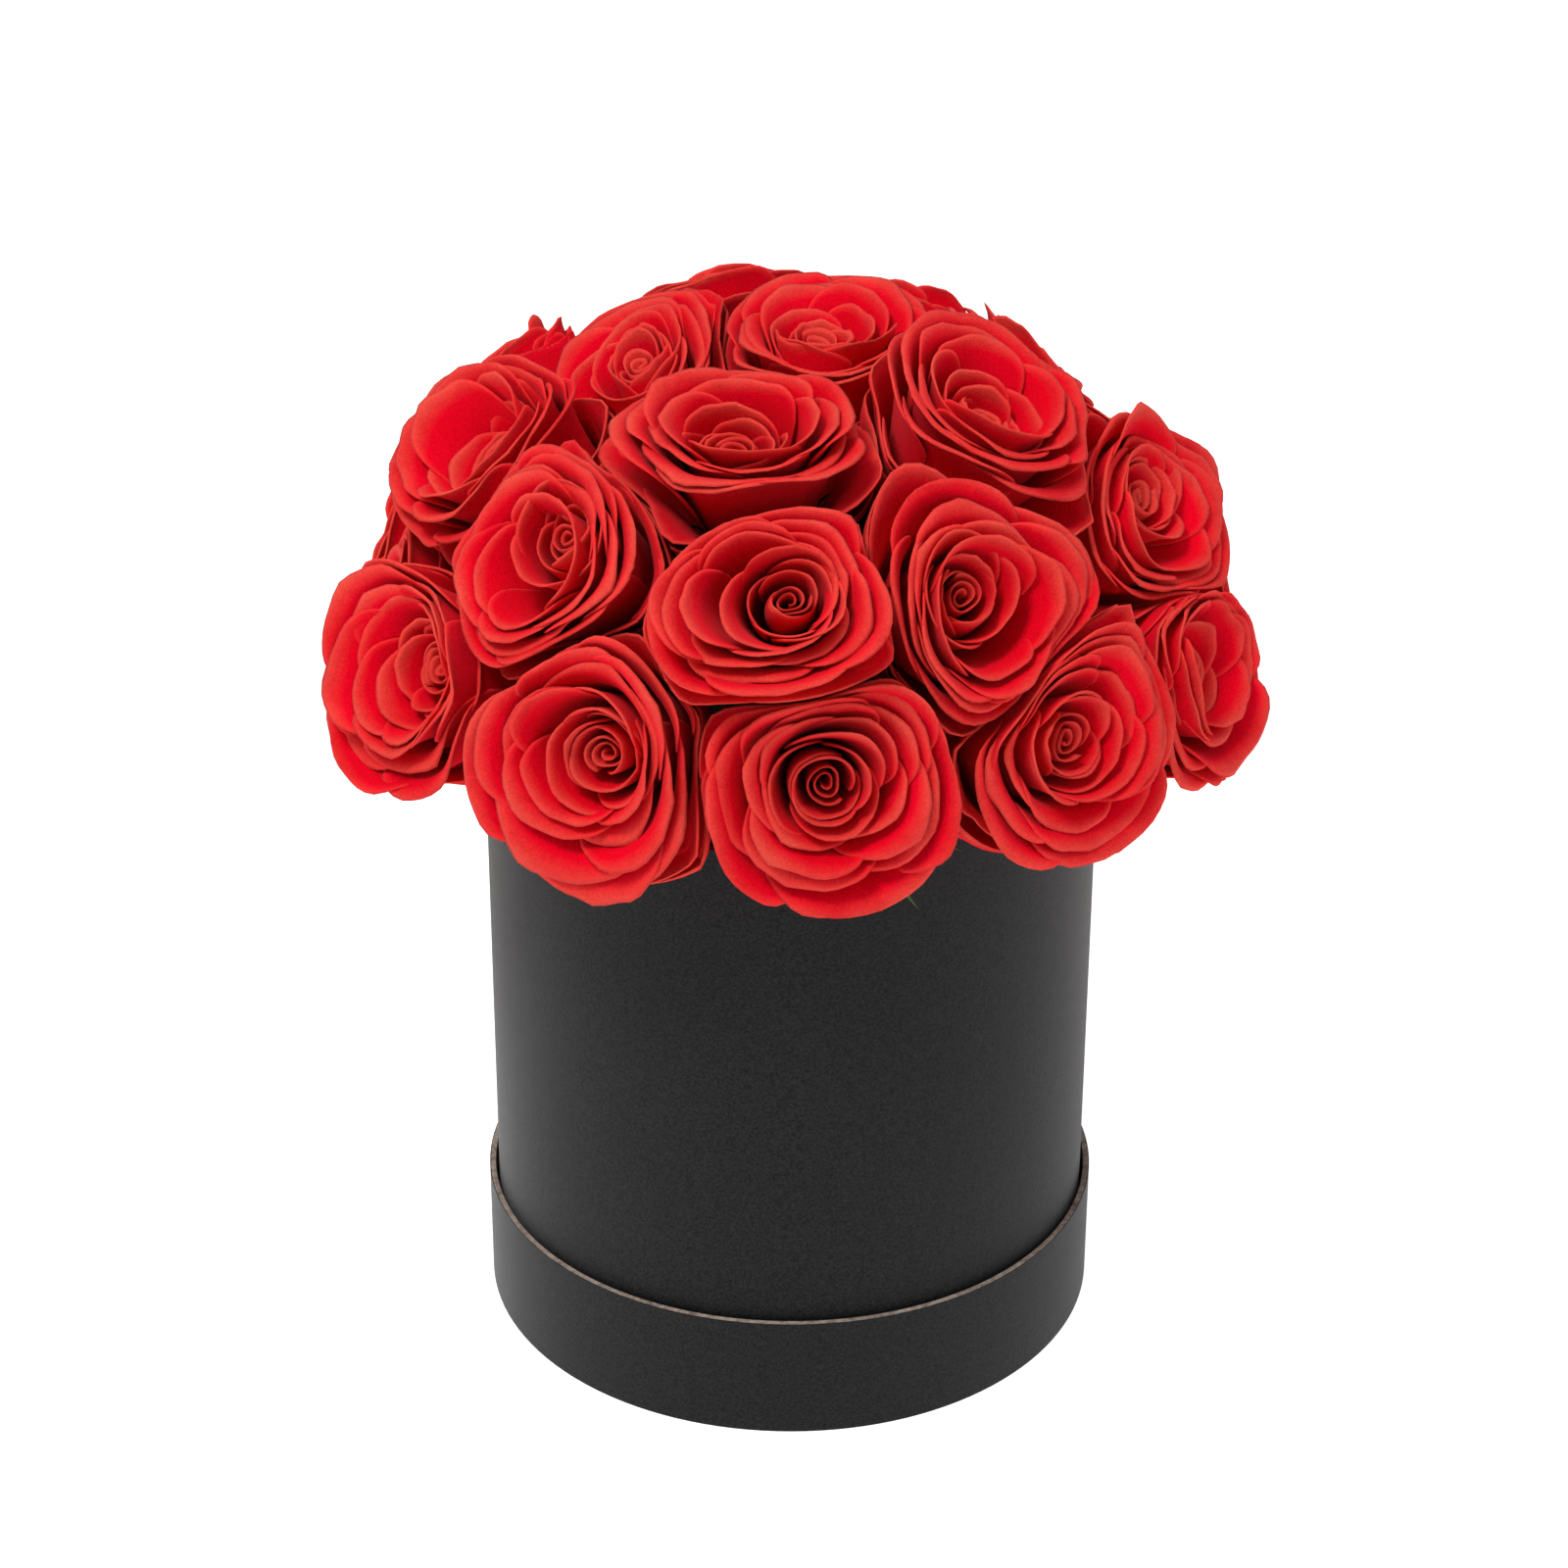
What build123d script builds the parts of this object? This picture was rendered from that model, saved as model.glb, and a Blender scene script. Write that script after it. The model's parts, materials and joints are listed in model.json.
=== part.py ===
from build123d import *
import math
import os

os.makedirs("parts", exist_ok=True)

# A round hat box of black paper over grey board. It stands in its own upturned lid and
# holds a dome of 25 roses, each one pushed into a foam block on its own stem.
# Sizes are in millimetres. The lid rests on Z = 0 and every ring is centred on the Z axis.
# Azimuth is measured from the front (-Y) towards +X, and elevation from the horizontal.

# Box and lid
box_radius = 75.0
box_rim = 160.0
box_board = 1.6
lid_height = 32.0
lid_wall_board = 1.3
lid_panel_board = 1.5
slip_gap = 0.7
paper = 0.2
turn_in = 10.0

# Foam
foam_fit_gap = 0.1
foam_shoulder = 150.0
foam_dome_radius = 58.0
foam_dome_centre = 154.0

# Roses: every stem points at the bouquet's centre
bouquet_centre = Vector(0, 0, 162.0)
head_depth = 34.0
head_radius = 30.5
head_foot_radius = 6.0
petal_lips = 4
lip_step = 5.5
lip_rise = 0.8
furrow_depth = 4.5
lip_width = 1.5
bud_radius = 7.0
neighbour_gap = 0.6
neighbour_angle = 37.0

# Stems
stem_radius = 1.1
stem_end = 15.0
bore_clearance = 0.1
bore_end = 14.0
calyx_height = 8.0
calyx_taper = 27.0
sepal_count = 5
sepal_reach = 13.5
sepal_half_width = 3.0
sepal_thickness = 0.8

# One row per rose: azimuth, elevation, and distance of the bud's tip from the centre
roses = [
    (4, 16, 105), (39, 15, 105), (68, 14, 104), (100, 15, 107), (129, 16, 107), (159, 15, 107),
    (188, 16, 107), (217, 15, 107), (248, 15, 107), (277, 16, 107), (305, 20, 107), (335, 18, 108),
    (359, 38, 110), (28, 37, 106), (79, 37, 106), (115, 47, 100), (157, 43, 101), (198, 46, 101),
    (238, 40, 102), (286, 46, 102), (319, 41, 108),
    (343, 63, 97), (58, 59, 103), (251, 65, 97),
    (135, 83, 94),
]
spin_step = 137.5


def finish(builder, name):
    """Label a finished piece and write it as the STEP file of its node."""
    builder.part.label = name
    export_step(builder.part, "parts/" + name + ".step")


def direction(azimuth, elevation):
    """Unit vector of a stem, from the bouquet's centre outwards."""
    turn = math.radians(azimuth)
    rise = math.radians(elevation)
    flat = math.cos(rise)
    return Vector(math.sin(turn) * flat, -math.cos(turn) * flat, math.sin(rise))


def stem_plane(number, distance):
    """Plane square to a rose's stem, at a distance from the bouquet's centre."""
    azimuth, elevation, reach = roses[number]
    outward = direction(azimuth, elevation)
    level = direction(azimuth + 90, 0)
    steep = outward.cross(level)
    spin = math.radians(number * spin_step)
    turned = level * math.cos(spin) + steep * math.sin(spin)
    return Plane(origin=bouquet_centre + outward * distance, x_dir=turned, z_dir=outward)


# ---------------------------------------------------------------- lid, upturned

lid_radius = box_radius + slip_gap + paper + lid_wall_board + paper
lid_hoop_inner = lid_radius - paper - lid_wall_board
lid_board_bottom = 2 * paper
lid_panel_top = lid_board_bottom + lid_panel_board
lid_floor = lid_panel_top + paper

with BuildPart() as lid_hoop:
    with BuildSketch(Plane.XY.offset(lid_board_bottom)):
        Circle(lid_radius - paper)
        Circle(lid_hoop_inner, mode=Mode.SUBTRACT)
    extrude(amount=lid_height - lid_board_bottom)
finish(lid_hoop, "lid_hoop")

with BuildPart() as lid_panel:
    with BuildSketch(Plane.XY.offset(lid_board_bottom)):
        Circle(lid_hoop_inner)
    extrude(amount=lid_panel_board)
finish(lid_panel, "lid_panel")

with BuildPart() as lid_side_paper:
    with BuildSketch(Plane.XY.offset(paper)):
        Circle(lid_radius)
        Circle(lid_radius - turn_in, mode=Mode.SUBTRACT)
    extrude(amount=paper)
    with BuildSketch(Plane.XY.offset(lid_board_bottom)):
        Circle(lid_radius)
        Circle(lid_radius - paper, mode=Mode.SUBTRACT)
    extrude(amount=lid_height - lid_board_bottom)
finish(lid_side_paper, "lid_side_paper")

with BuildPart() as lid_face_paper:
    with BuildSketch():
        Circle(lid_radius - paper)
    extrude(amount=paper)
finish(lid_face_paper, "lid_face_paper")

with BuildPart() as lid_lining:
    with BuildSketch(Plane.XY.offset(lid_panel_top)):
        Circle(lid_hoop_inner)
    extrude(amount=paper)
    with BuildSketch(Plane.XY.offset(lid_floor)):
        Circle(lid_hoop_inner)
        Circle(lid_hoop_inner - paper, mode=Mode.SUBTRACT)
    extrude(amount=lid_height - lid_floor)
finish(lid_lining, "lid_lining")

# ---------------------------------------------------------------- box, standing in the lid

box_bottom = lid_floor
box_board_bottom = box_bottom + paper
box_tube_outer = box_radius - paper
box_tube_inner = box_tube_outer - box_board
box_base_top = box_board_bottom + box_board
box_floor = box_base_top + paper

with BuildPart() as box_tube:
    with BuildSketch(Plane.XY.offset(box_board_bottom)):
        Circle(box_tube_outer)
        Circle(box_tube_inner, mode=Mode.SUBTRACT)
    extrude(amount=box_rim - box_board_bottom)
finish(box_tube, "box_tube")

with BuildPart() as box_base:
    with BuildSketch(Plane.XY.offset(box_board_bottom)):
        Circle(box_tube_inner)
    extrude(amount=box_board)
finish(box_base, "box_base")

with BuildPart() as box_side_paper:
    with BuildSketch(Plane.XY.offset(box_bottom)):
        Circle(box_radius)
        Circle(box_radius - turn_in, mode=Mode.SUBTRACT)
    extrude(amount=paper)
    with BuildSketch(Plane.XY.offset(box_board_bottom)):
        Circle(box_radius)
        Circle(box_tube_outer, mode=Mode.SUBTRACT)
    extrude(amount=box_rim - box_board_bottom)
finish(box_side_paper, "box_side_paper")

with BuildPart() as box_lining:
    with BuildSketch(Plane.XY.offset(box_base_top)):
        Circle(box_tube_inner)
    extrude(amount=paper)
    with BuildSketch(Plane.XY.offset(box_floor)):
        Circle(box_tube_inner)
        Circle(box_tube_inner - paper, mode=Mode.SUBTRACT)
    extrude(amount=box_rim - box_floor)
finish(box_lining, "box_lining")

# ---------------------------------------------------------------- foam block, bored for the stems

foam_radius = box_tube_inner - paper - foam_fit_gap

with BuildPart() as stem_bores:
    for number in range(len(roses)):
        with BuildSketch(stem_plane(number, bore_end)):
            Circle(stem_radius + bore_clearance)
        extrude(amount=foam_dome_radius)

with BuildPart() as foam_block:
    with BuildSketch(Plane.XY.offset(box_floor)):
        Circle(foam_radius)
    extrude(amount=foam_shoulder - box_floor)
    with Locations((0, 0, foam_dome_centre)):
        Sphere(foam_dome_radius)
    add(stem_bores.part, mode=Mode.SUBTRACT)
finish(foam_block, "foam_block")

# ---------------------------------------------------------------- roses

# The underside of a head is a half ball, cut flat where it sits on the calyx
foot_height = head_radius - math.sqrt(head_radius**2 - head_foot_radius**2)
flank_angle = math.radians(40)
flank_point = (head_radius * math.cos(flank_angle), head_radius * (1 - math.sin(flank_angle)))

with BuildPart() as blossom:
    with BuildSketch(Plane.XZ):
        with BuildLine():
            Line((0, foot_height), (head_foot_radius, foot_height))
            ThreePointArc((head_foot_radius, foot_height), flank_point, (head_radius, head_radius))
            # Each ring of petals has a narrow lip and falls into a furrow before the next one
            crest = [(head_radius, head_radius)]
            for level in range(petal_lips):
                lip_radius = head_radius - level * lip_step
                lip_height = head_radius + level * lip_rise
                if level > 0:
                    crest.append((lip_radius, lip_height))
                crest.append((lip_radius - lip_width, lip_height))
                crest.append((lip_radius - lip_step + lip_width / 2, lip_height - furrow_depth))
            crest.append((bud_radius, head_depth - 1))
            crest.append((0, head_depth))
            Polyline(*crest)
            Line((0, head_depth), (0, foot_height))
        make_face()
    revolve(axis=Axis.Z)


def calyx_and_stem(length):
    """Green calyx with a star of sepals under the head, on a stem of the given length."""
    with BuildPart() as stem:
        with BuildSketch(Plane.XY.offset(foot_height)):
            Circle(head_foot_radius)
            with PolarLocations(0, sepal_count):
                Polygon((0, -sepal_half_width), (sepal_reach, 0), (0, sepal_half_width), align=None)
        extrude(amount=-sepal_thickness)
        with BuildSketch(Plane.XY.offset(foot_height - sepal_thickness)):
            Circle(head_foot_radius)
        extrude(amount=-calyx_height, taper=calyx_taper)
        with BuildSketch():
            Circle(stem_radius)
        extrude(amount=-length)
    return stem.part


for number in range(len(roses)):
    azimuth, elevation, reach = roses[number]
    outward = direction(azimuth, elevation)
    base = reach - head_depth
    name = "rose_" + str(number + 1).zfill(2)

    with BuildPart() as head:
        with Locations(stem_plane(number, base)):
            add(blossom.part)
        # Neighbours press each other flat, on planes midway between their stems
        for other in range(len(roses)):
            toward = direction(roses[other][0], roses[other][1])
            if other != number and outward.get_angle(toward) < neighbour_angle:
                away = (outward - toward).normalized()
                midway = Plane(origin=bouquet_centre + away * (neighbour_gap / 2), z_dir=away)
                split(bisect_by=midway, keep=Keep.TOP)
    finish(head, name + "_head")

    with BuildPart() as stem:
        with Locations(stem_plane(number, base)):
            add(calyx_and_stem(base - stem_end))
    finish(stem, name + "_stem")
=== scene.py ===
import json
import math

import bpy
import numpy as np
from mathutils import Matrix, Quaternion, Vector


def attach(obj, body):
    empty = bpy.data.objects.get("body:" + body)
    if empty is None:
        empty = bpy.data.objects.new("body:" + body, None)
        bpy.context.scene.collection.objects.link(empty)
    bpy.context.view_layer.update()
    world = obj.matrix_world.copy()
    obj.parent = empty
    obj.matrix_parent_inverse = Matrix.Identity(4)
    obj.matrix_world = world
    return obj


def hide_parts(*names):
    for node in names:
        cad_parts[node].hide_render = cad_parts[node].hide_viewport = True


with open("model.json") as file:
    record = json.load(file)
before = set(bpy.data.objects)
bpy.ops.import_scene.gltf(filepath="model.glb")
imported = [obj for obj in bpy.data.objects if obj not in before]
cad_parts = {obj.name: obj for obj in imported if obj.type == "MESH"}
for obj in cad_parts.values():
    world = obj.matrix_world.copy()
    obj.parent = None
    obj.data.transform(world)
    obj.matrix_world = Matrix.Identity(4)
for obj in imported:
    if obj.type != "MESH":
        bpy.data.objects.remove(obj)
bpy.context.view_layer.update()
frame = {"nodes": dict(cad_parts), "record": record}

MM = 0.001
FULL_TURN = 2 * math.pi

# ---------------------------------------------------------------- places taken from the frame
# Heads, petals and stems are worked out in millimetres, and become metres when a mesh is made.

ROSES = [body for body in frame["record"]["behaviour"]["bodies"] if body.startswith("rose_")]
AXES = {
    joint["child"]: np.array(joint["axis"], float)
    for joint in frame["record"]["behaviour"]["joints"]
    if joint["child"] in ROSES
}
BOUQUET_CENTRE = np.array([0.0, 0.0, 162.0])
HEAD_DEPTH = 34.0
STEM_END = 15.0
NEIGHBOUR_ANGLE = math.radians(46)


def unit(vector):
    return vector / np.linalg.norm(vector)


def direction(azimuth, elevation):
    """Unit vector at an azimuth from the front, turning right, and an elevation, in degrees."""
    spin, lift = math.radians(azimuth), math.radians(elevation)
    return np.array([math.sin(spin) * math.cos(lift), -math.cos(spin) * math.cos(lift), math.sin(lift)])


def turn_between(first, second):
    """Matrix of the smallest rotation that takes one unit vector to another."""
    cross = np.cross(first, second)
    skew = np.array([[0, -cross[2], cross[1]], [cross[2], 0, -cross[0]], [-cross[1], cross[0], 0]])
    return np.eye(3) + skew + skew @ skew / (1 + first @ second)


def node_points(name):
    """A CAD node's vertices in millimetres."""
    mesh = frame["nodes"][name].data
    points = np.empty(len(mesh.vertices) * 3)
    mesh.vertices.foreach_get("co", points)
    return points.reshape(-1, 3) / MM


def rose_base(rose):
    """Distance from the bouquet's centre to where the head sits on its calyx."""
    along = (node_points(rose + "_head") - BOUQUET_CENTRE) @ AXES[rose]
    return along.max() - HEAD_DEPTH


BASES = {rose: rose_base(rose) for rose in ROSES}

# Where a head faces, as (azimuth, elevation) in degrees, when that isn't along its stem
FACING = {
    "rose_01": (6, 8),
    "rose_02": (34, 14),
    "rose_03": (60, 15),
    "rose_11": (-46, 25),
    "rose_12": (-25, 9),
    "rose_13": (-6, 58),
    "rose_14": (33, 29),
    "rose_15": (56, 31),
    "rose_20": (-62, 44),
    "rose_21": (-50, 36),
    "rose_22": (-10, 82),
    "rose_23": (55, 60),
    "rose_24": (-55, 52),
    "rose_25": (0, 81),
}
# How far a head leans off its stem's line at its lips, in the row's x, y and z, in millimetres
BEND = {
    "rose_01": (3, -4, 5.5),
    "rose_02": (1.5, 1.5, 4),
    "rose_03": (5.5, 1, 5.5),
    "rose_10": (4, 0, -5),
    "rose_11": (-7, -3, 2.5),
    "rose_12": (-3, 0, 1.5),
    "rose_13": (-6, -9, 5),
    "rose_14": (4, -3.5, -3.5),
    "rose_15": (4, -3, -5),
    "rose_16": (0, -2, 3),
    "rose_17": (3, 0, 6),
    "rose_18": (0, 0, 5),
    "rose_19": (-4, -2, 7),
    "rose_20": (-6.5, 2.5, 3.5),
    "rose_21": (-6, -6, -4),
    "rose_22": (2, -3.5, 6),
    "rose_23": (0, 0, 5.5),
    "rose_24": (-2, -7, -8),
    "rose_25": (1, 1, 1.5),
}
# How far a heart then sits from the middle of its own head, in millimetres
HEART = {
    "rose_01": (-2.5, -1.5, -3),
    "rose_02": (-1, -1.5, -2.5),
    "rose_03": (-6, -2.5, -4.5),
    "rose_11": (7, -0.5, -1),
    "rose_12": (3.5, -0.5, -1.5),
    "rose_13": (5.5, -0.5, -0.5),
    "rose_14": (-4.5, 2, 4.5),
    "rose_15": (-4, 3, 5.5),
    "rose_20": (6.5, -2.5, -4.5),
    "rose_21": (7, 3, 6),
    "rose_22": (-2, -2, -4),
    "rose_23": (0.5, -2.5, -4.5),
    "rose_24": (3.5, 4.5, 7),
    "rose_25": (-1.5, -0.5, -1.5),
}
UPRIGHT = (0, 0, 0)
# Above 1, a rose's petals take more of the room it shares with its neighbours
SPREAD = {
    "rose_01": 1.012,
    "rose_03": 0.973,
    "rose_04": 0.97,
    "rose_09": 0.97,
    "rose_10": 0.97,
    "rose_11": 0.983,
    "rose_12": 1.002,
    "rose_13": 1.011,
    "rose_14": 1.011,
    "rose_15": 0.994,
    "rose_16": 1.026,
    "rose_17": 0.97,
    "rose_18": 1.03,
    "rose_19": 0.975,
    "rose_20": 0.992,
    "rose_21": 1.012,
    "rose_22": 1.036,
    "rose_23": 1.015,
    "rose_25": 1.012,
}
# Steps of the phase of the wave between two heads, so that every pair's differs
FIRST_PHASE = 1.7
SECOND_PHASE = 2.9


def stem_frame(rose):
    """Rows are the level, steep and outward directions of a rose's stem."""
    outward = AXES[rose]
    level = unit(np.array([-outward[1], outward[0], 0.0]))
    return np.array([level, np.cross(outward, level), outward])


def rose_number(rose):
    return int(rose[-2:])


def own_draws(rose, factor, start):
    """A rose's own fixed stream of random numbers."""
    return np.random.default_rng(rose_number(rose) * factor + start)


def any_phase(rng):
    """A random start for a wave, in radians."""
    return rng.uniform(0, 6)


def neighbour_sides(rose):
    """For each neighbour: the parting plane's unit normal towards this rose, the direction its wave
    runs along, the side of the wave this rose is on, and the wave's phase."""
    sides = []
    for other in ROSES:
        if other == rose or math.acos(AXES[rose] @ AXES[other]) > NEIGHBOUR_ANGLE:
            continue
        normal = unit(AXES[rose] * SPREAD.get(rose, 1.0) - AXES[other] * SPREAD.get(other, 1.0))
        first, second = sorted((rose, other))
        sign = 1.0 if rose == first else -1.0
        line = unit(np.cross(AXES[first], AXES[second]))
        phase = FIRST_PHASE * rose_number(first) + SECOND_PHASE * rose_number(second)
        sides.append((normal, line, sign, phase))
    return sides


# ---------------------------------------------------------------- room for each head

# Rings of petals are drawn for a head of this radius, and then fitted
FULL_RADIUS = 36.0
# The higher, the further an outline reaches into the corners between neighbours
FILLING_ROUNDING = 12.0
SHOWING_ROUNDING = 5.5
CORNER_RADIUS = 38.5
# How far petals reach on a head's sides that have no neighbour
FREE_RADIUS = {
    "rose_02": 32.0,
    "rose_03": 31.0,
    "rose_11": 31.0,
    "rose_12": 38.0,
    "rose_17": 28.0,
    "rose_18": 26.0,
}
USUAL_FREE_RADIUS = 34.0
# Filling petals end this far inside it, more and more from OPEN_FROM to OPEN_OVER beyond that
FREE_INSET = 5.0
OPEN_FROM = 32.0
OPEN_OVER = 20.0
# Two heads part at a plane through the bouquet's centre, with a gap each side and a slow wave in it
PLANE_GAP = 0.45
WAVE_HEIGHT = 1.4
WAVES = 14.0
LEAST_ROOM = 1.0
LEAST_CLOSING = 0.02
FAR_OFF = 100.0
TINY = 1e-6
NO_CROWDING = 1e-30
# Roses whose stems lift less than LOWEST_RING_LIFT hang over the box's rim, and their filling petals
# shorten the more they point down
HANGING_SLOPE = 2.2
LOWEST_RING_LIFT = math.sin(math.radians(22))


def crowd(centres, radials, sides, filling, free, hanging):
    """Fits a rose's rings of petals to the room its neighbours leave, the outer rings the most.

    Filling petals reach into the corners of that room and the others keep a rounder outline. On a
    hanging rose they stay short where nothing but the box is below them.
    """
    radius = np.maximum(np.linalg.norm(radials, axis=-1), TINY)
    ways = radials / radius[..., None]
    rounding = FILLING_ROUNDING if filling else SHOWING_ROUNDING
    crowding = np.full(radius.shape, NO_CROWDING)
    nearest = np.full(radius.shape, FAR_OFF)
    for normal, line, sign, phase in sides:
        depth = (centres - BOUQUET_CENTRE) @ normal
        closing = np.maximum(-(ways @ normal), LEAST_CLOSING)
        meeting = centres - BOUQUET_CENTRE + ways * (depth / closing)[..., None]
        along = meeting @ line / np.linalg.norm(meeting, axis=-1)
        room = depth - PLANE_GAP - sign * WAVE_HEIGHT * np.sin(WAVES * along + phase)
        reach = np.maximum(room, LEAST_ROOM) / closing
        crowding = crowding + reach**-rounding
        nearest = np.minimum(nearest, reach)
    if filling:
        openness = np.clip((nearest - OPEN_FROM) / OPEN_OVER, 0, 1)
        openness = openness**2 * (3 - 2 * openness)
        if hanging:
            openness = np.maximum(openness, np.clip(-HANGING_SLOPE * ways[..., 2], 0, 1))
        cap = CORNER_RADIUS + (free - FREE_INSET - CORNER_RADIUS) * openness
        limit = np.minimum(np.minimum(crowding ** (-1 / rounding), nearest), cap)
    else:
        limit = np.minimum((crowding + free**-rounding) ** (-1 / rounding), nearest)
    share = np.clip(radius / FULL_RADIUS, 0, 1)
    fitted = np.minimum(radius * (1 + (limit / FULL_RADIUS - 1) * share), limit)
    return centres + ways * fitted[..., None]


def place(points, rose, turn, filling=False, heart=False, free=None):
    """From the rose's own frame to the row frame in millimetres, kept clear of its neighbours."""
    level, steep, outward = stem_frame(rose)
    facing = direction(*FACING[rose]) if rose in FACING else outward
    lean = turn_between(outward, facing)
    cos, sin = math.cos(turn), math.sin(turn)
    right = points[..., 0] * cos - points[..., 1] * sin
    up = points[..., 0] * sin + points[..., 1] * cos
    radials = (right[..., None] * level + up[..., None] * steep) @ lean.T
    bend = np.array(BEND.get(rose, UPRIGHT), float)
    if heart:
        bend = bend + HEART.get(rose, UPRIGHT)
    rise = np.clip(points[..., 2:] / HEAD_DEPTH, 0, None)
    centres = BOUQUET_CENTRE + (BASES[rose] + points[..., 2:]) * outward + bend * rise**1.5
    free = free or FREE_RADIUS.get(rose, USUAL_FREE_RADIUS)
    return crowd(centres, radials, neighbour_sides(rose), filling, free, outward[2] < LOWEST_RING_LIFT)


# ---------------------------------------------------------------- closed shells and pieces


def shell_faces(across, along):
    """Quads of a sheet's two skins, which share the vertices of the border."""
    grid = np.arange(across * along).reshape(across, along)
    other = grid + across * along
    other[0, :] = grid[0, :]
    other[-1, :] = grid[-1, :]
    other[:, 0] = grid[:, 0]
    other[:, -1] = grid[:, -1]
    front = np.stack([grid[:-1, :-1], grid[1:, :-1], grid[1:, 1:], grid[:-1, 1:]], -1)
    back = np.stack([other[:-1, :-1], other[:-1, 1:], other[1:, 1:], other[1:, :-1]], -1)
    return np.concatenate([front.reshape(-1, 4), back.reshape(-1, 4)])


def sheet_normals(points):
    """Unit normal of a sheet at each point of its grid."""
    across = np.gradient(points, axis=0)
    along = np.gradient(points, axis=1)
    normal = np.cross(across, along)
    return normal / np.maximum(np.linalg.norm(normal, axis=-1, keepdims=True), 1e-9)


def shell(points, thickness):
    """Vertices of both skins of a sheet, thickness given for each point of the grid."""
    offset = sheet_normals(points) * (thickness / 2)[..., None]
    return np.concatenate([(points + offset).reshape(-1, 3), (points - offset).reshape(-1, 3)])


def round_off(border, width):
    """From 0 at a sheet's border to 1 a width inside it, along a quarter circle."""
    return np.sqrt(np.clip(1 - (1 - np.clip(border / width, 0, 1)) ** 2, 0, 1))


class Pile:
    """Gathers shells into one mesh. Each vertex keeps two marks, from 0 to 1: rim, how near it is to
    its petal's edge, and lip, how far up the petal it is, which places the painted highlight at the lips."""

    def __init__(self):
        self.points, self.faces, self.rims, self.lips, self.count = [], [], [], [], 0

    def add(self, points, thickness, rim, lip):
        across, along = points.shape[:2]
        marks = [np.concatenate([mark.reshape(-1), mark.reshape(-1)]) for mark in (rim, lip)]
        self.add_skin(shell(points, thickness), shell_faces(across, along), *marks)

    def add_skin(self, vertices, faces, rim, lip):
        self.points.append(vertices)
        self.faces.append(faces + self.count)
        self.rims.append(rim)
        self.lips.append(lip)
        self.count += len(vertices)

    def make(self, name, material, body, replaced):
        """Makes the piece, in metres, from the vertices that its faces use."""
        points = np.concatenate(self.points) * MM
        faces = np.concatenate(self.faces)
        used = np.unique(faces)
        renumber = np.zeros(len(points), int)
        renumber[used] = np.arange(len(used))
        marks = {"rim": np.concatenate(self.rims)[used], "lip": np.concatenate(self.lips)[used]}
        mesh = quad_mesh(name, points[used], renumber[faces], marks)
        mesh.materials.append(material)
        piece = bpy.data.objects.new(name, mesh)
        bpy.context.scene.collection.objects.link(piece)
        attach(piece, body)
        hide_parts(replaced)


def quad_mesh(name, points, faces, marks):
    """A smooth mesh of quads, with a number at each vertex for every mark."""
    mesh = bpy.data.meshes.new(name)
    mesh.vertices.add(len(points))
    mesh.vertices.foreach_set("co", points.astype(np.float32).ravel())
    mesh.loops.add(faces.size)
    mesh.loops.foreach_set("vertex_index", faces.astype(np.int32).ravel())
    mesh.polygons.add(len(faces))
    mesh.polygons.foreach_set("loop_start", np.arange(0, faces.size, 4, dtype=np.int32))
    mesh.polygons.foreach_set("use_smooth", np.ones(len(faces), bool))
    mesh.update(calc_edges=True)
    mesh.validate()
    for mark, values in marks.items():
        attribute = mesh.attributes.new(mark, "FLOAT", "POINT")
        attribute.data.foreach_set("value", values.astype(np.float32))
    return mesh


# ---------------------------------------------------------------- rose petals

# The grid over a petal, and how near its steps are to even ones
ACROSS = 25
ALONG = 17
EVENNESS = 0.45
PETAL_THICKNESS = 0.6
# Shares of a petal's half-width and height
ROUNDED_BORDER = 0.03
RIM_WIDTH = 0.05
# A petal's width at its foot, as a share of the whole width that it has from FULL_FROM up
FOOT_WIDTH = 0.45
FULL_FROM = 0.55
# How far out one side of a petal stands, and the other in, so that petals overlap
OVERLAP = 0.9


def clustered(count, low, high):
    """Steps from low to high that crowd together at both ends."""
    t = np.linspace(-1, 1, count)
    t = np.sin(t * math.pi / 2) * (1 - EVENNESS) + t * EVENNESS
    return low + (high - low) * (t + 1) / 2


def bezier(control, t):
    """Points of a cubic curve at each t, from its four control points."""
    a, b, c, d = (np.array(p, float) for p in control)
    t = t[..., None]
    return a * (1 - t) ** 3 + 3 * b * t * (1 - t) ** 2 + 3 * c * t**2 * (1 - t) + d * t**3


# From the outside in. count: petals; line: the petal's rise from foot to lip as (radius, height);
# half: half-width at the lip in degrees; fall: how much lower its sides are; flat: how far its sides
# open outwards; filling: whether it lies low and reaches into the gaps between heads
LAYERS = [
    dict(count=5, line=[(4, 0), (21, -3), (32, 6), (38, 19)], half=60, fall=0.12, flat=0.0, filling=True),
    dict(count=5, line=[(4, 0.5), (22, -2), (25, 23), (38, 23)], half=56, fall=0.18, flat=0.03, filling=True),
    dict(count=5, line=[(4, 1), (21, -1), (20, 33), (36, 30.5)], half=55, fall=0.28, flat=0.04),
    dict(count=5, line=[(4, 1.5), (18, 0), (16, 34), (30, 32.5)], half=58, fall=0.28, flat=0.03),
    dict(count=5, line=[(3.5, 2), (14.5, 2), (13, 33), (24, 33.5)], half=60, fall=0.27, flat=0.02),
    dict(count=4, line=[(3, 3.5), (12, 5), (11.5, 31), (18.5, 34)], half=68, fall=0.28, flat=0.02),
    dict(count=3, line=[(2.5, 6), (10, 8), (10.2, 28), (13.6, 34)], half=84, fall=0.26, flat=0.0),
    dict(count=3, line=[(2.5, 9), (8.5, 12), (7.6, 25), (9.4, 32.6)], half=82, fall=0.22, flat=0.0),
    dict(count=2, line=[(2, 10), (6.5, 12), (5.8, 25), (6.8, 31.6)], half=112, fall=0.18, flat=0.0),
]
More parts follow.
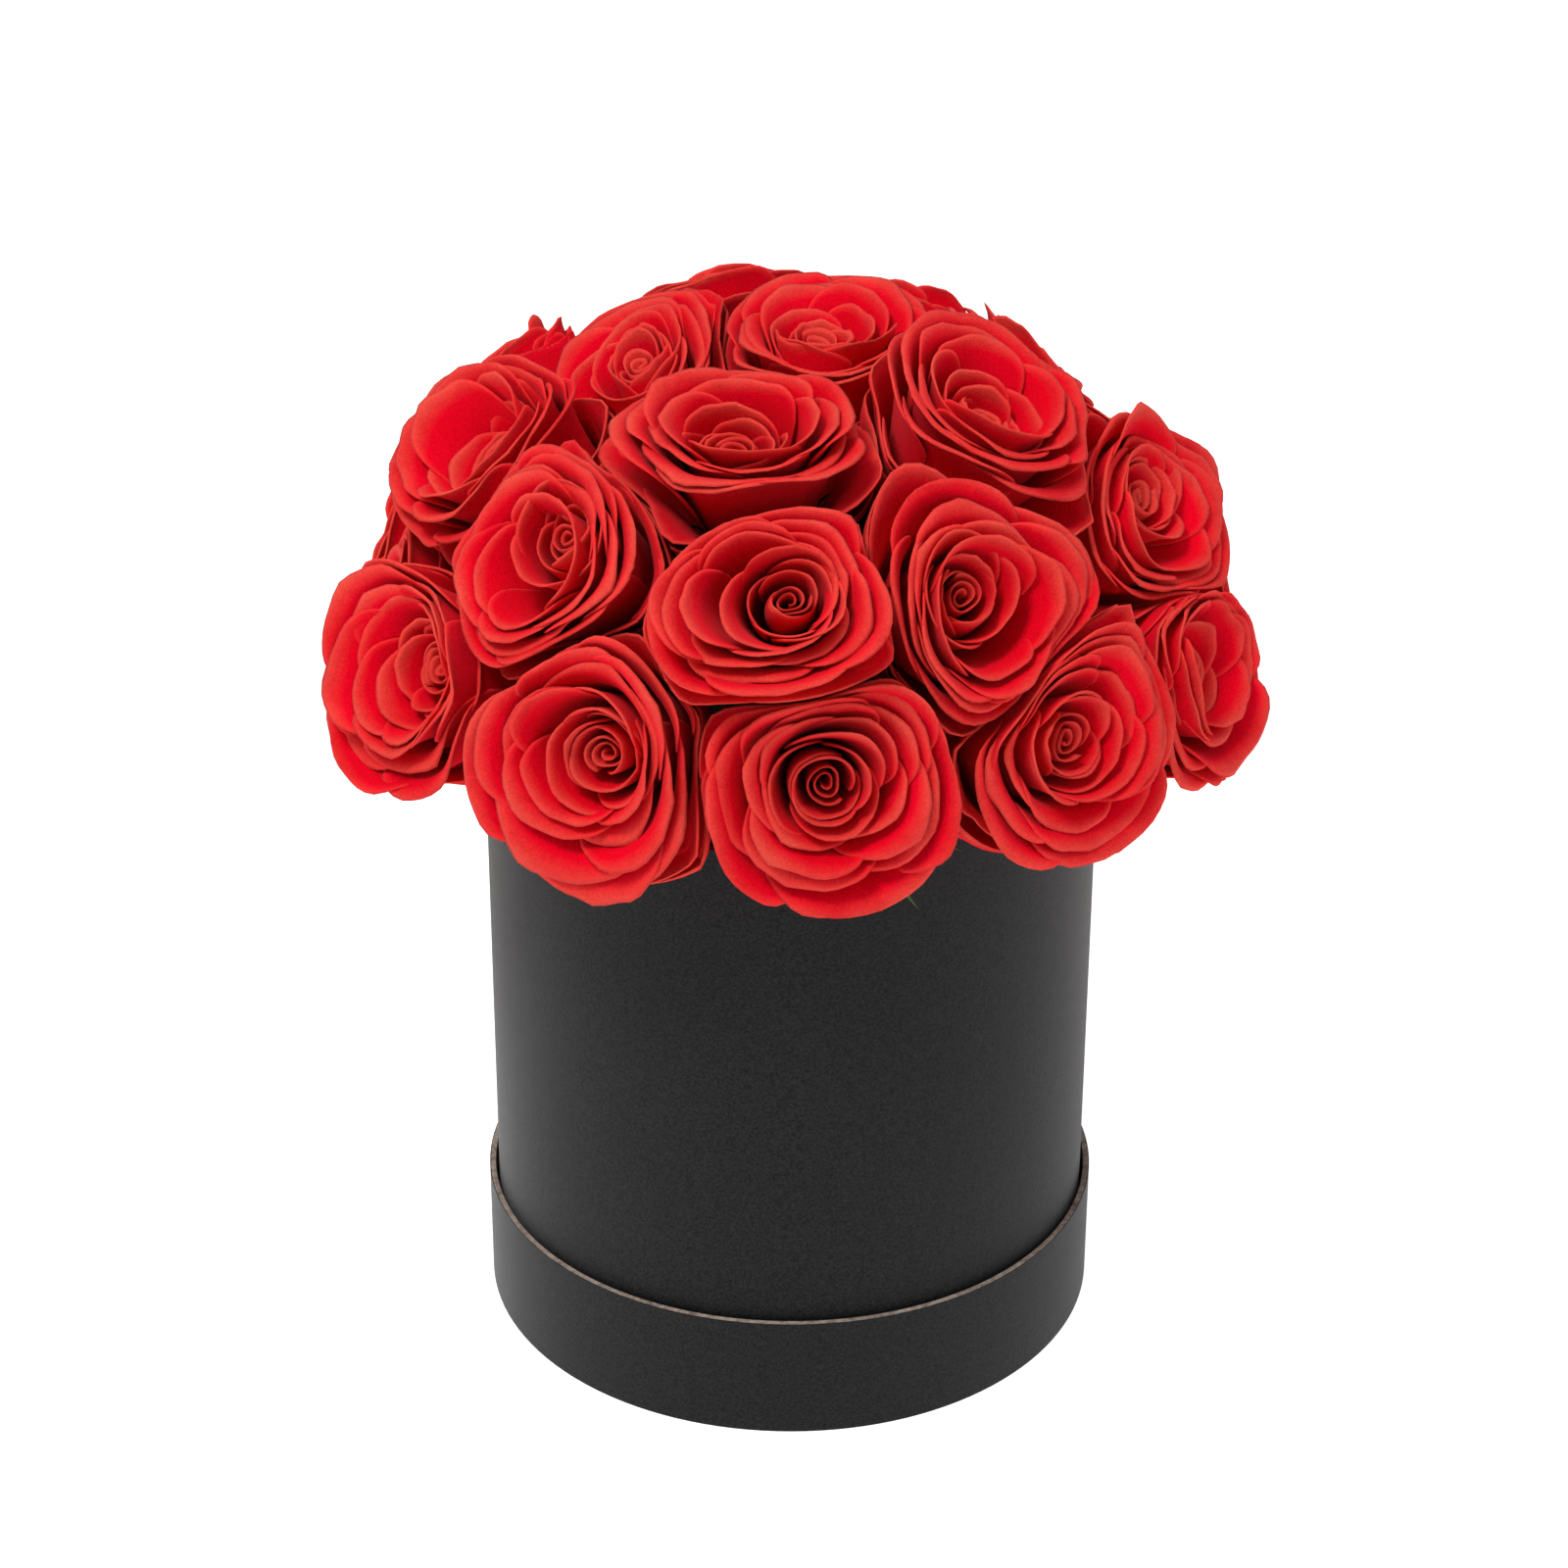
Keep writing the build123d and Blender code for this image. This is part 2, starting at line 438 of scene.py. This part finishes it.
INNER_LAYERS = 3
LAYER_STAGGER = 0.35
TIP_HEIGHT = 0.028
TIP_WIDTH = 0.14


def wobble(rng, u, slowest, fastest):
    """A wave across a petal, with a random pace and phase."""
    return np.sin(u * rng.uniform(slowest, fastest) + any_phase(rng))


def petal_edge(rng, u, fall):
    """How far up its own line each part of a petal reaches: full in the middle, with a small tip."""
    tip_place = rng.normal(0, 0.12)
    edge = 1 - fall * np.abs(u) ** 3.4 + TIP_HEIGHT * np.exp(-np.abs((u - tip_place) / TIP_WIDTH) ** 1.4)
    edge = edge + 0.010 * wobble(rng, u, 4, 7)
    return edge + 0.004 * wobble(rng, u, 14, 22)


def petal_line(rng, layer, opened):
    """The layer's rise from foot to lip, a little different on each petal."""
    line = np.array(layer["line"], float)
    line[1, 0] += rng.normal(0, 0.4)
    line[2] += rng.normal(0, 0.7, 2)
    line[3] += rng.normal(0, 1.2, 2)
    line[2:, 0] *= opened
    return line


def petal(rng, layer, middle, opened):
    """Grid of one petal in the rose's own frame, with its thickness, rim and lip at each point."""
    u = clustered(ACROSS, -1, 1)[:, None]
    v = clustered(ALONG, 0, 1)[None, :]
    t = v * petal_edge(rng, u, layer["fall"])
    path = bezier(petal_line(rng, layer, opened), t)
    radius, height = path[..., 0], path[..., 1]
    widen = FOOT_WIDTH + (1 - FOOT_WIDTH) * np.clip(t / FULL_FROM, 0, 1) ** 0.7
    half = math.radians(layer["half"]) * rng.uniform(0.9, 1.1)
    angle = middle + u * half * widen
    upper = t**2
    radius = radius * (1 + layer["flat"] * u**2 * upper) + OVERLAP * u * np.clip(t * 2, 0, 1)
    ruffle = 0.02 * radius + 0.15
    radius = radius + ruffle * upper * wobble(rng, u, 2, 3.6)
    height = height + 1.3 * ruffle * upper * wobble(rng, u, 2, 4)
    height = height + 0.12 * upper**2 * wobble(rng, u, 9, 15)
    points = np.stack([radius * np.cos(angle), radius * np.sin(angle), height + 0 * u], -1)
    side = 1 - np.abs(u) + 0 * v
    border = np.minimum(side, np.minimum(1 - v, v * 4) + 0 * u)
    rim = np.clip(1 - np.minimum(side, 1 - v + 0 * u) / RIM_WIDTH, 0, 1)
    return points, PETAL_THICKNESS * round_off(border, ROUNDED_BORDER), rim, t + 0 * u


BUD_TURNS = 2.3
BUD_STEPS = 110
BUD_RISES = 10
BUD_CORE = 0.7
BUD_GROWTH = 3.9
BUD_FOOT = 14
BUD_TOP = 30.0
BUD_THICKNESS = 0.55


def bud(rng):
    """The rolled heart: one long petal wound into a spiral."""
    t = np.linspace(0, 1, BUD_STEPS)[:, None]
    v = clustered(BUD_RISES, 0, 1)[None, :]
    angle = t * BUD_TURNS * FULL_TURN + any_phase(rng)
    radius = BUD_CORE + BUD_GROWTH * t + 0 * v
    radius = radius * (1 + 0.10 * np.cos(2 * angle + any_phase(rng)) + 0.05 * np.cos(3 * angle))
    top = BUD_TOP + 1.4 * t + 0.5 * np.sin(angle * 1.3 + any_phase(rng))
    height = BUD_FOOT + (top - BUD_FOOT) * v
    radius = radius * (0.85 + 0.15 * v) + 0.35 * v**6
    points = np.stack([radius * np.cos(angle), radius * np.sin(angle), height], -1)
    border = np.minimum(np.minimum(t, 1 - t) * 20 + 0 * v, np.minimum(v, 1 - v) * 3 + 0 * t)
    rim = np.clip(1 - (1 - v + 0 * t) / 0.07, 0, 1)
    return points, BUD_THICKNESS * round_off(border, 0.3), rim, 0.45 + 0.55 * v + 0 * t


def make_rose(rose, material):
    """A head: layers of petals from the outside in, then the rolled heart a little to one side."""
    rng = own_draws(rose, 101, 7)
    turn = rng.uniform(0, FULL_TURN)
    opened = rng.uniform(0.96, 1.03)
    aside, way = rng.uniform(0.5, 1.8), rng.uniform(0, FULL_TURN)
    shift = np.array([aside * math.cos(way), aside * math.sin(way), 0.0])
    pile = Pile()
    start = 0.0
    for number, layer in enumerate(LAYERS):
        inner = number >= len(LAYERS) - INNER_LAYERS
        for step in range(layer["count"]):
            middle = start + step * FULL_TURN / layer["count"] + rng.normal(0, 0.09)
            points, thickness, rim, lip = petal(rng, layer, middle, 1.0 if inner else opened)
            if inner:
                points = points + shift * (points[..., 2:] / HEAD_DEPTH) ** 2
            filling = layer.get("filling", False)
            pile.add(place(points, rose, turn, filling=filling, heart=inner), thickness, rim, lip)
        start += math.pi / layer["count"] + LAYER_STAGGER
    points, thickness, rim, lip = bud(rng)
    points = points + shift * (points[..., 2:] / HEAD_DEPTH) ** 2
    pile.add(place(points, rose, turn, heart=True), thickness, rim, lip)
    pile.make(rose + "_petals", material, rose, rose + "_head")


# ---------------------------------------------------------------- stems, calyxes and sepals

# The turn of a rose's sepals in degrees, and how far its first one reaches along the petals' backs
# in millimetres, where that one shows under the head
SEPALS = {"rose_01": (-56, 35), "rose_02": (222, 40)}
SEPAL_COUNT = 5
SEPAL_REACH = 24.0
LONGEST_SEPAL = 37.0
SEPAL_HALF_WIDTH = 2.6
SEPAL_THICKNESS = 0.5
SEPAL_ROOM = 46.0
STEM_RADIUS = 1.05
STEM_SIDES = 16
SHANK_RINGS = 9
AXIS_RADIUS = 0.02
# The calyx's outline as (radius, distance beyond the head's base)
CALYX = [
    (1.3, -8.2),
    (2.3, -7.2),
    (3.3, -5.6),
    (3.9, -3.4),
    (3.7, -1.4),
    (4.3, 0.1),
    (3.6, 0.9),
    (AXIS_RADIUS, 1.1),
]


def stem_profile(base):
    """The stem's and calyx's outline as (radius, distance from the bouquet's centre)."""
    foot = [(AXIS_RADIUS, STEM_END), (0.8, STEM_END), (STEM_RADIUS, STEM_END + 0.6)]
    shank = [(STEM_RADIUS, along) for along in np.linspace(STEM_END + 4, base - 10, SHANK_RINGS)]
    return foot + shank + [(radius, base + beyond) for radius, beyond in CALYX]


def round_bar(profile, rose):
    """Vertices and quads of a closed skin of revolution about a rose's stem."""
    level, steep, outward = stem_frame(rose)
    angle = np.linspace(0, FULL_TURN, STEM_SIDES, endpoint=False)
    ways = np.cos(angle)[:, None] * level + np.sin(angle)[:, None] * steep
    rings = [BOUQUET_CENTRE + outward * along + ways * radius for radius, along in profile]
    grid = np.arange(len(profile) * STEM_SIDES).reshape(len(profile), STEM_SIDES)
    turned = np.roll(grid, -1, axis=1)
    faces = np.stack([grid[:-1], turned[:-1], turned[1:], grid[1:]], -1).reshape(-1, 4)
    return np.array(rings).reshape(-1, 3), faces


def sepal(rng, middle, reach):
    """A narrow pointed leaf that lies against the back of the outer petals."""
    u = np.linspace(-1, 1, 7)[:, None]
    v = clustered(15, 0, 1)[None, :]
    share = reach / LONGEST_SEPAL
    tip = (LONGEST_SEPAL * share, 19 * share)
    path = bezier([(2.6, 0.5), (18 * share, -3.5), (24 * share, 10), tip], v)
    swell = np.sin(np.clip(v, 0, 1) ** 0.8 * math.pi * 0.78 + 0.6) ** 1.2
    width = (SEPAL_HALF_WIDTH * swell + 0.1) * (1 - v**6)
    radius = path[..., 0] + 0 * u
    height = path[..., 1] - 0.5 * u**2 + rng.normal(0, 0.4) * v**2
    sideways = u * width + rng.normal(0, 1.2) * v**2
    x = radius * math.cos(middle) - sideways * math.sin(middle)
    y = radius * math.sin(middle) + sideways * math.cos(middle)
    border = np.minimum(1 - np.abs(u) + 0 * v, np.minimum(v, 1 - v) * 2 + 0 * u)
    thickness = SEPAL_THICKNESS * np.clip(border / 0.3, 0, 1) ** 0.5
    return np.stack([x, y, height], -1), thickness, np.abs(u) + 0 * v


def make_stem(rose, material):
    """A rose's stem and calyx in one, with the sepals around it."""
    rng = own_draws(rose, 37, 3)
    turn, first_reach = SEPALS.get(rose, (rng.uniform(0, 360), SEPAL_REACH))
    first_room = SEPAL_ROOM if rose in SEPALS else USUAL_FREE_RADIUS
    pile = Pile()
    for number in range(SEPAL_COUNT):
        middle = number * FULL_TURN / SEPAL_COUNT + rng.normal(0, 0.06)
        reach, room = (first_reach, first_room) if number == 0 else (SEPAL_REACH, USUAL_FREE_RADIUS)
        points, thickness, rim = sepal(rng, middle, reach)
        pile.add(place(points, rose, math.radians(turn), free=room), thickness, rim, rim)
    vertices, faces = round_bar(stem_profile(BASES[rose]), rose)
    plain = np.zeros(len(vertices))
    pile.add_skin(vertices, faces, plain, plain)
    pile.make(rose + "_stalk", material, rose, rose + "_stem")


# ---------------------------------------------------------------- materials

WHITE = (1, 1, 1)


def new_material(name):
    material = bpy.data.materials.new(name)
    material.use_nodes = True
    nodes = material.node_tree.nodes
    return material, nodes, material.node_tree.links, nodes["Principled BSDF"]


def noise(nodes, links, scale, detail=3.0, roughness=0.6):
    """Noise in the object's own space: at a scale of 1000, its spots are about a millimetre across."""
    coordinates = nodes.new("ShaderNodeTexCoord")
    texture = nodes.new("ShaderNodeTexNoise")
    texture.inputs["Scale"].default_value = scale
    texture.inputs["Detail"].default_value = detail
    texture.inputs["Roughness"].default_value = roughness
    links.new(coordinates.outputs["Object"], texture.inputs["Vector"])
    return texture.outputs["Fac"]


def ramp(nodes, links, source, start, first, end, last):
    """Colour that goes from the first to the last as the source goes from start to end."""
    node = nodes.new("ShaderNodeValToRGB")
    elements = node.color_ramp.elements
    elements[0].position = start
    elements[0].color = (*first, 1)
    elements[1].position = end
    elements[1].color = (*last, 1)
    links.new(source, node.inputs["Fac"])
    return node.outputs["Color"]


def mix(nodes, links, factor, first, second, kind="MIX"):
    """Mixes two colours. The factor and the colours are each a socket or a value."""
    node = nodes.new("ShaderNodeMix")
    node.data_type = "RGBA"
    node.blend_type = kind
    for socket, value in ((node.inputs[0], factor), (node.inputs[6], first), (node.inputs[7], second)):
        if hasattr(value, "is_output"):
            links.new(value, socket)
        elif isinstance(value, tuple):
            socket.default_value = (*value, 1)
        else:
            socket.default_value = value
    return node.outputs[2]


def scaled(nodes, links, source, factor):
    """The source times a fixed factor."""
    node = nodes.new("ShaderNodeMath")
    node.operation = "MULTIPLY"
    node.inputs[1].default_value = factor
    links.new(source, node.inputs[0])
    return node.outputs[0]


def bump(nodes, links, source, target, distance, strength=1.0):
    node = nodes.new("ShaderNodeBump")
    node.inputs["Distance"].default_value = distance
    node.inputs["Strength"].default_value = strength
    links.new(source, node.inputs["Height"])
    links.new(node.outputs["Normal"], target)


def vary_roughness(nodes, links, shader, source, low, high):
    """Roughness that goes from low to high with the source."""
    node = nodes.new("ShaderNodeMapRange")
    node.inputs["To Min"].default_value = low
    node.inputs["To Max"].default_value = high
    links.new(source, node.inputs["Value"])
    links.new(node.outputs[0], shader.inputs["Roughness"])


def attribute_value(nodes, name):
    """The mark of this name that a petal's vertices keep."""
    node = nodes.new("ShaderNodeAttribute")
    node.attribute_name = name
    return node.outputs["Fac"]


# Painted light: the first pair of reds paints shade down in the folds, the second paints highlight at the
# petals' lips
FOLD_SHADE_REDS = (0.77, 0.0005, 0.012), (0.85, 0.001, 0.018)
LIP_HIGHLIGHT_REDS = (0.61, 0.018, 0.022), (0.71, 0.080, 0.053)
RIM_RED = (0.85, 0.055, 0.045)
GRAIN_SHADES = (0.66, 0.66, 0.66), WHITE


def petal_material():
    """Powdery soap foam with painted light: a saturated red with next to no green stands for shade down
    in the folds, a duller, more orange red stands for the highlight at the lips, and a paler line runs along
    each petal's edge."""
    material, nodes, links, shader = new_material("soap_foam_red")
    shade_red = ramp(nodes, links, noise(nodes, links, 60), 0.3, FOLD_SHADE_REDS[0], 0.7, FOLD_SHADE_REDS[1])
    highlight_red = ramp(nodes, links, noise(nodes, links, 60), 0.3, LIP_HIGHLIGHT_REDS[0], 0.7, LIP_HIGHLIGHT_REDS[1])
    # Painted highlight: the lip colour takes over near the top of each petal, and the painted shade colour
    # keeps the rest
    highlight_share = ramp(nodes, links, attribute_value(nodes, "lip"), 0.87, (0, 0, 0), 1.0, WHITE)
    # Painted light: shade and highlight reds mixed by height up the petal
    soft = mix(nodes, links, highlight_share, shade_red, highlight_red)
    powder = noise(nodes, links, 1600, 4.0, 0.7)
    grain = ramp(nodes, links, powder, 0.3, GRAIN_SHADES[0], 0.7, GRAIN_SHADES[1])
    colour = mix(nodes, links, 1.0, soft, grain, "MULTIPLY")
    rim = scaled(nodes, links, attribute_value(nodes, "rim"), 0.5)
    colour = mix(nodes, links, rim, colour, RIM_RED)
    links.new(colour, shader.inputs["Base Color"])
    vary_roughness(nodes, links, shader, noise(nodes, links, 700), 0.62, 0.85)
    shader.inputs["Specular IOR Level"].default_value = 0.012
    shader.inputs["Sheen Weight"].default_value = 0.035
    shader.inputs["Sheen Roughness"].default_value = 0.5
    shader.inputs["Sheen Tint"].default_value = (1.0, 0.75, 0.72, 1)
    bump(nodes, links, noise(nodes, links, 2600, 2.0), shader.inputs["Normal"], 0.00015, 0.8)
    return material


def paper_material():
    """Matt black covering paper with a fine fibrous grain and a soft sheen."""
    material, nodes, links, shader = new_material("black_paper")
    fibres = noise(nodes, links, 1500, 4.0, 0.7)
    colour = ramp(nodes, links, fibres, 0.36, (0.0005, 0.0005, 0.0005), 0.64, (0.015, 0.015, 0.015))
    links.new(colour, shader.inputs["Base Color"])
    vary_roughness(nodes, links, shader, noise(nodes, links, 900), 0.48, 0.62)
    shader.inputs["Specular IOR Level"].default_value = 0.12
    shader.inputs["Sheen Weight"].default_value = 0.16
    shader.inputs["Sheen Roughness"].default_value = 0.34
    bump(nodes, links, noise(nodes, links, 2200, 4.0, 0.7), shader.inputs["Normal"], 0.00018, 0.8)
    return material


def plain_material(name, dark, light, rough, scale, depth):
    """Matt material whose colour, roughness and bump all follow one noise of the given scale."""
    material, nodes, links, shader = new_material(name)
    texture = noise(nodes, links, scale, 4.0)
    links.new(ramp(nodes, links, texture, 0.3, dark, 0.7, light), shader.inputs["Base Color"])
    vary_roughness(nodes, links, shader, texture, rough - 0.12, rough + 0.12)
    bump(nodes, links, texture, shader.inputs["Normal"], depth)
    return material


def paint(node, material):
    """Gives a CAD node its material."""
    data = frame["nodes"][node].data
    data.materials.clear()
    data.materials.append(material)


# ---------------------------------------------------------------- build

red = petal_material()
black = paper_material()
board = plain_material("greyboard", (0.12, 0.09, 0.07), (0.42, 0.35, 0.29), 0.85, 700, 0.0002)
foam = plain_material("floral_foam", (0.004, 0.012, 0.006), (0.012, 0.035, 0.014), 0.85, 1500, 0.0003)
green = plain_material("green_plastic", (0.03, 0.09, 0.015), (0.06, 0.16, 0.03), 0.6, 300, 0.00005)
for node in ("lid_side_paper", "lid_face_paper", "lid_lining", "box_side_paper", "box_lining"):
    paint(node, black)
for node in ("lid_hoop", "lid_panel", "box_tube", "box_base"):
    paint(node, board)
paint("foam_block", foam)
for rose in ROSES:
    make_rose(rose, red)
    make_stem(rose, green)

# ---------------------------------------------------------------- camera, lights and floor

FLOOR_SIZE = 6.0
CAMERA_DISTANCE = 0.9655
CAMERA_ELEVATION = math.radians(27.71)
CAMERA_ROLL = math.radians(0.3)
AIM_HEIGHT = 0.1389
LIGHT_TARGET = (0, 0, 0.15)


def make_floor():
    mesh = bpy.data.meshes.new("floor")
    corners = [(x * FLOOR_SIZE, y * FLOOR_SIZE, 0) for x, y in ((-1, -1), (1, -1), (1, 1), (-1, 1))]
    mesh.from_pydata(corners, [], [(0, 1, 2, 3)])
    floor = bpy.data.objects.new("floor", mesh)
    bpy.context.scene.collection.objects.link(floor)
    material, _, _, shader = new_material("pale_floor")
    shader.inputs["Base Color"].default_value = (0.55, 0.55, 0.55, 1)
    shader.inputs["Roughness"].default_value = 0.9
    shader.inputs["Emission Color"].default_value = (*WHITE, 1)
    shader.inputs["Emission Strength"].default_value = 0.88
    mesh.materials.append(material)


def aim(thing, target, roll=0.0):
    way = Vector(target) - thing.location
    thing.rotation_mode = "QUATERNION"
    thing.rotation_quaternion = way.to_track_quat("-Z", "Y") @ Quaternion((0, 0, 1), roll)


def area_light(name, place, target, size, power):
    data = bpy.data.lights.new(name, "AREA")
    data.shape = "SQUARE"
    data.size = size
    data.energy = power
    light = bpy.data.objects.new(name, data)
    light.location = place
    bpy.context.scene.collection.objects.link(light)
    aim(light, target)


def make_camera():
    data = bpy.data.cameras.new("camera")
    data.sensor_width = 36
    data.lens = 90
    data.shift_x = -0.0048
    camera = bpy.data.objects.new("camera", data)
    back = CAMERA_DISTANCE * math.cos(CAMERA_ELEVATION)
    camera.location = (0, -back, AIM_HEIGHT + CAMERA_DISTANCE * math.sin(CAMERA_ELEVATION))
    bpy.context.scene.collection.objects.link(camera)
    aim(camera, (0, 0, AIM_HEIGHT), CAMERA_ROLL)
    bpy.context.scene.camera = camera


def make_world():
    world = bpy.data.worlds.new("studio")
    world.use_nodes = True
    background = world.node_tree.nodes["Background"]
    background.inputs["Color"].default_value = (*WHITE, 1)
    background.inputs["Strength"].default_value = 0.40
    bpy.context.scene.world = world


make_floor()
make_world()
make_camera()
area_light("key", (-0.55, -0.8, 1.65), LIGHT_TARGET, 0.45, 20)
area_light("fill", (1.3, -0.7, 0.7), LIGHT_TARGET, 1.0, 4)
area_light("left", (-1.5, -0.35, 0.5), (0, 0, 0.1), 0.9, 3)
area_light("top", (0.0, 0.2, 1.8), LIGHT_TARGET, 1.2, 9)
bpy.context.scene.view_settings.view_transform = "Standard"
